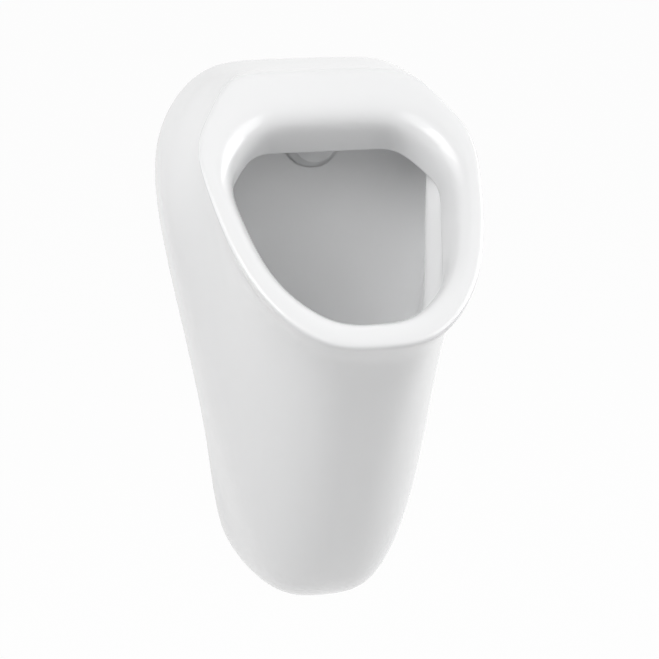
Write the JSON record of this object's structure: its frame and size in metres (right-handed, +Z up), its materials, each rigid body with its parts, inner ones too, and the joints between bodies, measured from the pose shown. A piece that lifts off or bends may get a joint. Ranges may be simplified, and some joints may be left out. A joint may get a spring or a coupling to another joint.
{
  "type": "wall hung urinal",
  "caption": "Wall hung urinal: one china body with a rolled rim round a slanting opening and a tapering column, hook hangers, rear flush inlet, dome strainer and a bottle trap.",
  "frame": {"origin": "the middle of the four wall fixings, on the finished wall", "axes": "+X to the right of someone facing the urinal, +Y into the wall, +Z up"},
  "size_m": [0.3004, 0.3698, 0.5546],
  "materials": {
    "white_china": "smooth white glaze, softly glossy",
    "zinc_steel": "zinc plated steel",
    "black_plastic": "moulded, matt",
    "white_plastic": "moulded white plastic, satin",
    "black_rubber": "matt rubber",
    "chromed_brass": "polished chrome",
    "stainless_steel": "polished stainless steel sheet",
    "grey_plastic": "plain drain pipe, satin"
  },
  "bodies": {
    "urinal": {"ceramic_body": "white_china", "hanger_left": "zinc_steel", "hanger_right": "zinc_steel", "hook_pads": "black_plastic", "hanger_screws": "zinc_steel", "screw_washers": "zinc_steel", "inlet_spreader": "white_plastic", "inlet_gasket": "black_rubber", "inlet_washer": "black_rubber", "inlet_backnut": "white_plastic", "flush_pipe_seal": "black_rubber", "waste_flange": "chromed_brass", "waste_gasket": "black_rubber", "waste_washer": "black_rubber", "waste_backnut": "white_plastic", "trap_inlet_nut": "white_plastic", "trap_inlet_washer": "black_rubber", "dip_tube": "white_plastic", "trap_body": "white_plastic", "trap_cup": "white_plastic", "trap_cup_seal": "black_rubber", "drain_pipe": "grey_plastic", "drain_seal": "black_rubber", "drain_nut": "white_plastic"},
    "strainer": {"strainer_dome": "stainless_steel"}
  },
  "joints": [
    {"name": "strainer_lift", "type": "slide", "parent": "urinal", "child": "strainer", "axis": [0, 0, 1], "range_m": [0, 0.06]}
  ]
}
